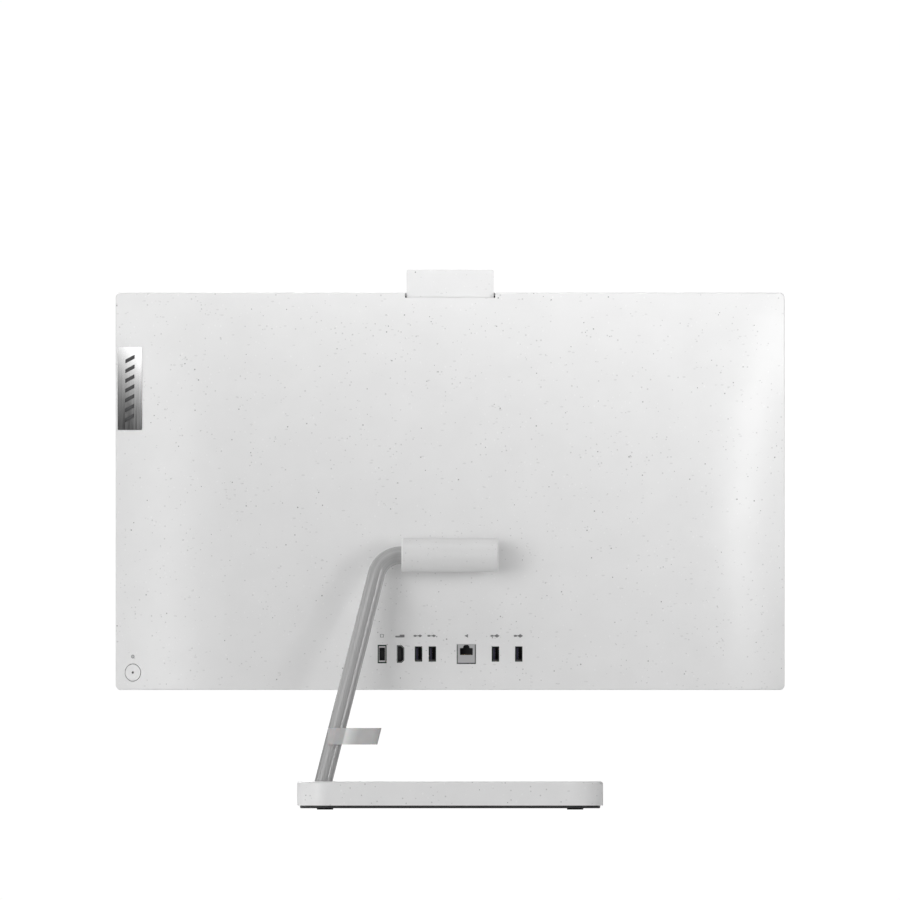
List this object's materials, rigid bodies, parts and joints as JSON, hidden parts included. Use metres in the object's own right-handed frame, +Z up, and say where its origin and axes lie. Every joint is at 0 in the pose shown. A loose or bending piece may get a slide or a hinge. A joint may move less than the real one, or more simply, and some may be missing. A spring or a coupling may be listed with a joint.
{
  "type": "all-in-one desktop computer",
  "caption": "Desktop computer built into a wide flat display, on a bent steel tube rising from a rounded flat base, with a pop-up camera and a tilt hinge.",
  "frame": {"origin": "on the desk surface, under the middle of the base and of the whole object's box", "axes": "+Z up, the screen faces -Y, +X is the side of the head that carries the power button"},
  "size_m": [0.614, 0.192, 0.4955],
  "materials": {
    "white_shell": "speckled white moulded plastic, very fine grain",
    "screen_glass": "black anti-glare display glass",
    "light_plate": "acrylic light plate in a plastic tray",
    "speaker_fabric": "fine grey woven speaker fabric",
    "black_plastic": "black moulded plastic",
    "gloss_black": "polished black plastic window",
    "foot_rubber": "soft dark rubber pads",
    "satin_steel": "brushed satin steel tube",
    "plain_steel": "zinc-plated steel",
    "ballast_iron": "painted iron plate",
    "badge_metal": "polished metal badge, plain",
    "cooling_copper": "copper heat pipe and plate",
    "fin_aluminium": "thin aluminium fins",
    "circuit_board": "green solder mask on glass laminate",
    "chip_black": "black chip package",
    "socket_metal": "nickel-plated socket shell",
    "frosted_clip": "frosted translucent plastic",
    "lens_glass": "dark coated lens",
    "indicator_clear": "smoked indicator window"
  },
  "bodies": {
    "stand": {"base_shell": "white_shell", "base_weight": "ballast_iron", "base_bottom_plate": "black_plastic", "rubber_feet": "foot_rubber", "base_screws": "plain_steel", "tube_flange": "plain_steel", "flange_screws": "plain_steel", "stand_tube": "satin_steel", "hinge_shaft": "plain_steel", "friction_washers": "plain_steel", "hinge_nut": "plain_steel", "cable_clip": "frosted_clip"},
    "head": {"rear_cover": "white_shell", "front_bezel": "white_shell", "hinge_barrel": "white_shell", "barrel_cap_left": "white_shell", "barrel_cap_right": "white_shell", "lcd_panel": "screen_glass", "backlight_unit": "light_plate", "chin_fabric": "speaker_fabric", "chin_grille": "black_plastic", "speaker_left": "black_plastic", "speaker_right": "black_plastic", "fan_housing": "black_plastic", "camera_guide": "black_plastic", "power_socket": "black_plastic", "video_socket": "black_plastic", "mid_frame": "plain_steel", "hinge_bracket": "plain_steel", "bracket_screws": "plain_steel", "board_screws": "plain_steel", "board_standoffs": "plain_steel", "clock_battery": "plain_steel", "badge_plate": "badge_metal", "heat_pipe": "cooling_copper", "cold_plate": "cooling_copper", "fin_stack": "fin_aluminium", "antennas": "fin_aluminium", "mainboard": "circuit_board", "display_board": "circuit_board", "button_board": "circuit_board", "memory_modules": "circuit_board", "storage_drive": "circuit_board", "wireless_card": "circuit_board", "processor_package": "chip_black", "data_socket_1": "socket_metal", "data_socket_2": "socket_metal", "data_socket_3": "socket_metal", "data_socket_4": "socket_metal", "network_socket": "socket_metal", "indicator_lens": "indicator_clear"},
    "camera": {"camera_back_shell": "white_shell", "camera_front_shell": "white_shell", "camera_window": "gloss_black", "camera_lens": "lens_glass", "camera_board": "circuit_board"},
    "fan": {"fan_impeller": "black_plastic"},
    "power_button": {"power_button_cap": "white_shell"}
  },
  "joints": [
    {"name": "tilt", "type": "hinge", "parent": "stand", "child": "head", "pos_m": [0, 0.026, 0.2336], "axis": [-1, 0, 0], "range_deg": [-5, 15]},
    {"name": "camera_slide", "type": "slide", "parent": "head", "child": "camera", "axis": [0, 0, 1], "range_m": [-0.02, 0]},
    {"name": "power_press", "type": "slide", "parent": "head", "child": "power_button", "axis": [-0.4243, -0.9055, 0], "range_m": [0, 0.001], "stiffness_N_per_m": 800},
    {"name": "fan_spin", "type": "hinge", "parent": "head", "child": "fan", "pos_m": [-0.23, -0.0175, 0.1675], "axis": [0, 1, 0], "continuous": true}
  ]
}
